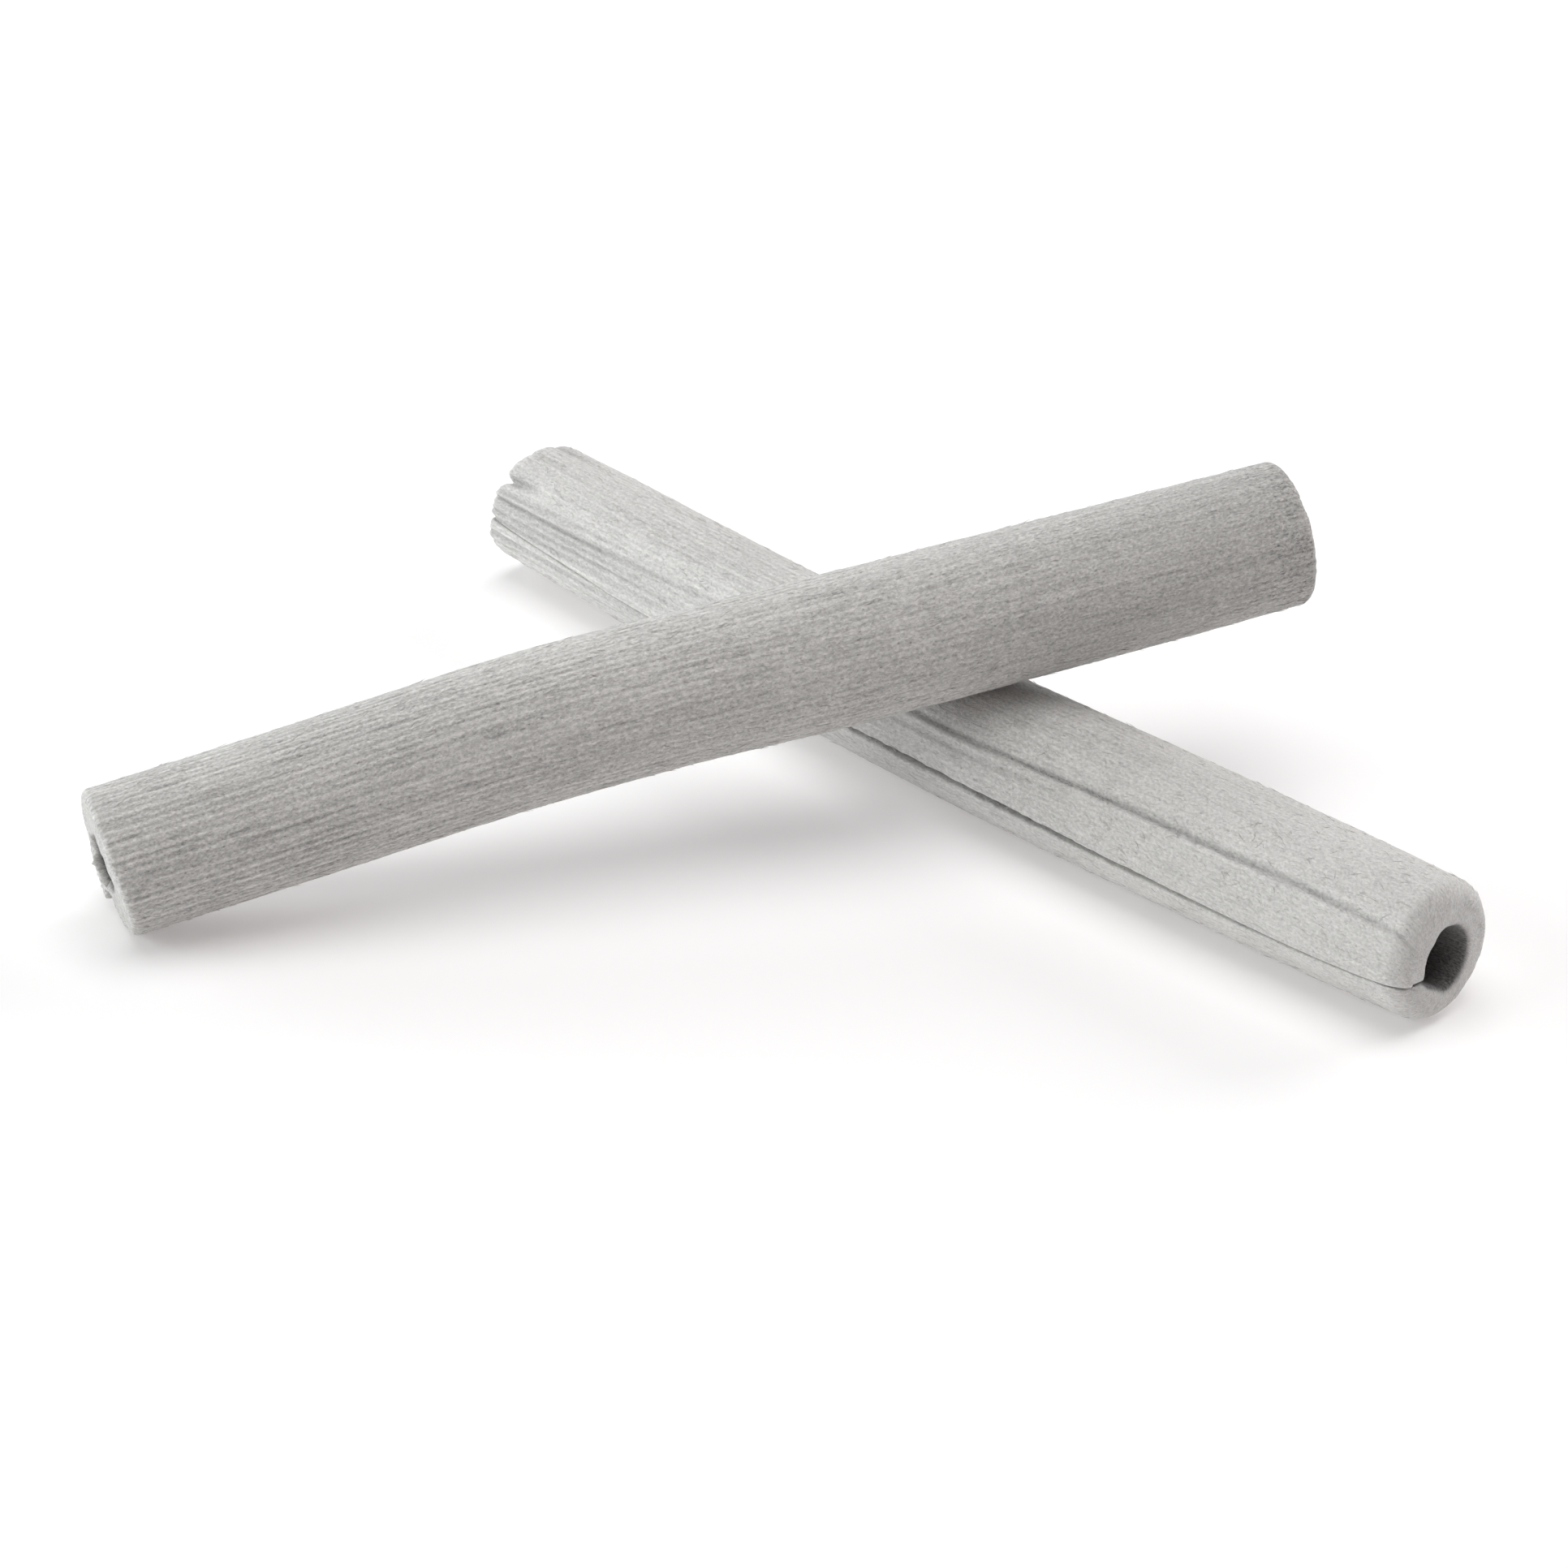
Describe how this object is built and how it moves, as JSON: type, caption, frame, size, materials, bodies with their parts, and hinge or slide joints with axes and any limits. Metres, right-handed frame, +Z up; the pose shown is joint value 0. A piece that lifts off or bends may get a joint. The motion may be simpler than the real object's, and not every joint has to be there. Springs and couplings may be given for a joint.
{
  "type": "blending stump",
  "caption": "Crossed pair of hollow rolled felt-paper blending stumps with pasted lengthwise seams, blunt soft ends and slight bends.",
  "frame": {"origin": "on the table under the middle of the pair's footprint", "axes": "+Z up from the table; +X along the straight half of the lower stump, out of its open end; +Y towards the raised end of the upper stump"},
  "size_m": [0.0626, 0.0564, 0.0171],
  "materials": {
    "felt_paper": "soft fibrous pale grey felt paper, matt, with lengthwise rolling ribs",
    "seam_paste": "dried starch paste soaked into the paper, matt grey-beige"
  },
  "bodies": {
    "lower_stump": {"lower_felt_roll": "felt_paper", "lower_seam_paste": "seam_paste"},
    "upper_stump": {"upper_felt_roll": "felt_paper", "upper_seam_paste": "seam_paste"}
  },
  "joints": [
    {"name": "lift", "type": "slide", "parent": "lower_stump", "child": "upper_stump", "axis": [0, 0, 1], "range_m": [0, 0.04]}
  ]
}
